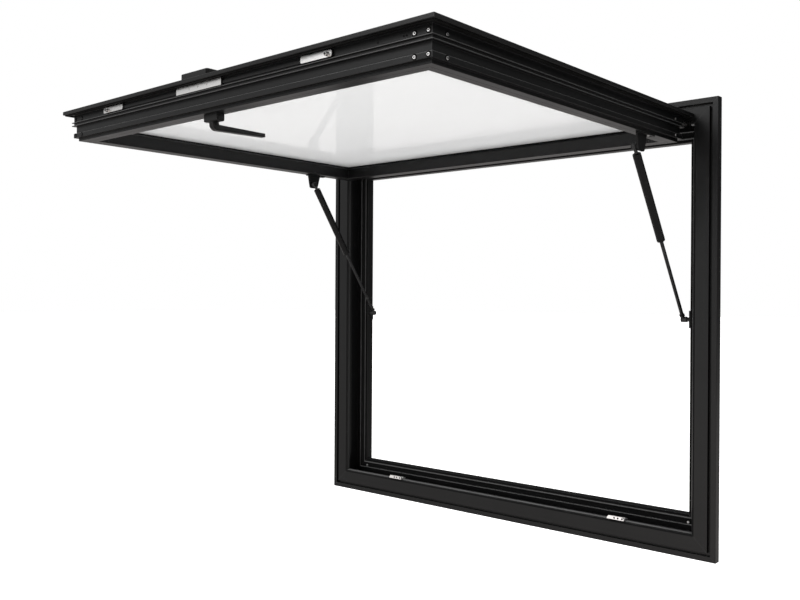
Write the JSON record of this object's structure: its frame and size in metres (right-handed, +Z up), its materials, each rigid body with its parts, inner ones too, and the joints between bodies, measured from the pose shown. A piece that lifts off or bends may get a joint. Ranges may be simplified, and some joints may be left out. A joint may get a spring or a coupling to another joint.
{
  "type": "top-hung window",
  "caption": "Black top-hung awning window with a stepped frame, a double-glazed sash swung out level on gas struts, an inside lever handle and a roller lock bar.",
  "frame": {"origin": "on the back face of the sill's outer rim, at the middle of the sill, where the rim rests on the wall", "axes": "+X along the sill to the right seen from outside, +Y into the wall and the room, +Z up"},
  "size_m": [1.18, 0.986, 1.016],
  "materials": {
    "frame_coat": "satin black powder coat",
    "sash_coat": "satin black powder coat",
    "seal_rubber": "matte black rubber",
    "glass": "clear glass",
    "spacer_bar": "dark spacer bar",
    "bright_steel": "bright zinc-plated steel",
    "strut_rod": "dark polished rod",
    "strut_tube": "gloss black paint",
    "strut_fitting": "black moulded fitting",
    "bracket_coat": "black painted steel",
    "handle_coat": "fine matte black coat"
  },
  "bodies": {
    "frame": {"frame_sill": "frame_coat", "frame_head": "frame_coat", "frame_left_jamb": "frame_coat", "frame_right_jamb": "frame_coat", "stop_seal": "seal_rubber", "head_leaf": "frame_coat", "hinge_pin": "bright_steel", "left_keeper": "bright_steel", "right_keeper": "bright_steel", "left_jamb_bracket": "bracket_coat", "right_jamb_bracket": "bracket_coat"},
    "sash": {"sash_bottom_rail": "sash_coat", "sash_hinge_rail": "sash_coat", "sash_left_stile": "sash_coat", "sash_right_stile": "sash_coat", "bead_bottom_rail": "sash_coat", "bead_hinge_rail": "sash_coat", "bead_left_stile": "sash_coat", "bead_right_stile": "sash_coat", "flange_seal": "seal_rubber", "outer_glazing_seal": "seal_rubber", "inner_glazing_seal": "seal_rubber", "glass_spacer": "spacer_bar", "outer_pane": "glass", "inner_pane": "glass", "sash_leaf": "sash_coat", "lock_faceplate": "bright_steel", "outer_pull": "handle_coat", "handle_base": "handle_coat", "left_sash_bracket": "bracket_coat", "right_sash_bracket": "bracket_coat"},
    "handle": {"handle_lever": "handle_coat"},
    "lock_slide": {"lock_bar": "bracket_coat", "left_cam_plate": "bright_steel", "right_cam_plate": "bright_steel", "left_roller": "bright_steel", "right_roller": "bright_steel"},
    "left_rod": {"left_strut_rod": "strut_rod", "left_rod_eye": "strut_fitting"},
    "left_tube": {"left_strut_tube": "strut_tube", "left_tube_eye": "strut_fitting"},
    "right_rod": {"right_strut_rod": "strut_rod", "right_rod_eye": "strut_fitting"},
    "right_tube": {"right_strut_tube": "strut_tube", "right_tube_eye": "strut_fitting"}
  },
  "joints": [
    {"name": "sash_hinge", "type": "hinge", "parent": "frame", "child": "sash", "pos_m": [0, -0.017, 0.9585], "axis": [1, 0, 0], "range_deg": [0, 90]},
    {"name": "handle_turn", "type": "hinge", "parent": "sash", "child": "handle", "pos_m": [-0.04, -0.884, 0.87], "axis": [0, 0, 1], "range_deg": [0, 90]},
    {"name": "lock_travel", "type": "slide", "parent": "sash", "child": "lock_slide", "axis": [1, 0, 0], "range_m": [0, 0.036]},
    {"name": "left_strut_swing", "type": "hinge", "parent": "sash", "child": "left_tube", "pos_m": [-0.4865, -0.205, 0.8845], "axis": [-1, 0, 0], "range_deg": [0, 127.41]},
    {"name": "left_strut_slide", "type": "slide", "parent": "left_tube", "child": "left_rod", "axis": [0, -0.5638, 0.8259], "range_m": [0, 0.19037]},
    {"name": "right_strut_swing", "type": "hinge", "parent": "sash", "child": "right_tube", "pos_m": [0.4865, -0.205, 0.8845], "axis": [-1, 0, 0], "range_deg": [0, 127.41]},
    {"name": "right_strut_slide", "type": "slide", "parent": "right_tube", "child": "right_rod", "axis": [0, -0.5638, 0.8259], "range_m": [0, 0.19037]}
  ],
  "couplings": [
    {"joint": "lock_travel", "follows": "handle_turn", "m_per_rad": 0.022918},
    {"joint": "left_strut_swing", "follows": "sash_hinge", "ratio": 1.4157},
    {"joint": "left_strut_slide", "follows": "sash_hinge", "m_per_rad": 0.12119},
    {"joint": "right_strut_swing", "follows": "sash_hinge", "ratio": 1.4157},
    {"joint": "right_strut_slide", "follows": "sash_hinge", "m_per_rad": 0.12119}
  ]
}
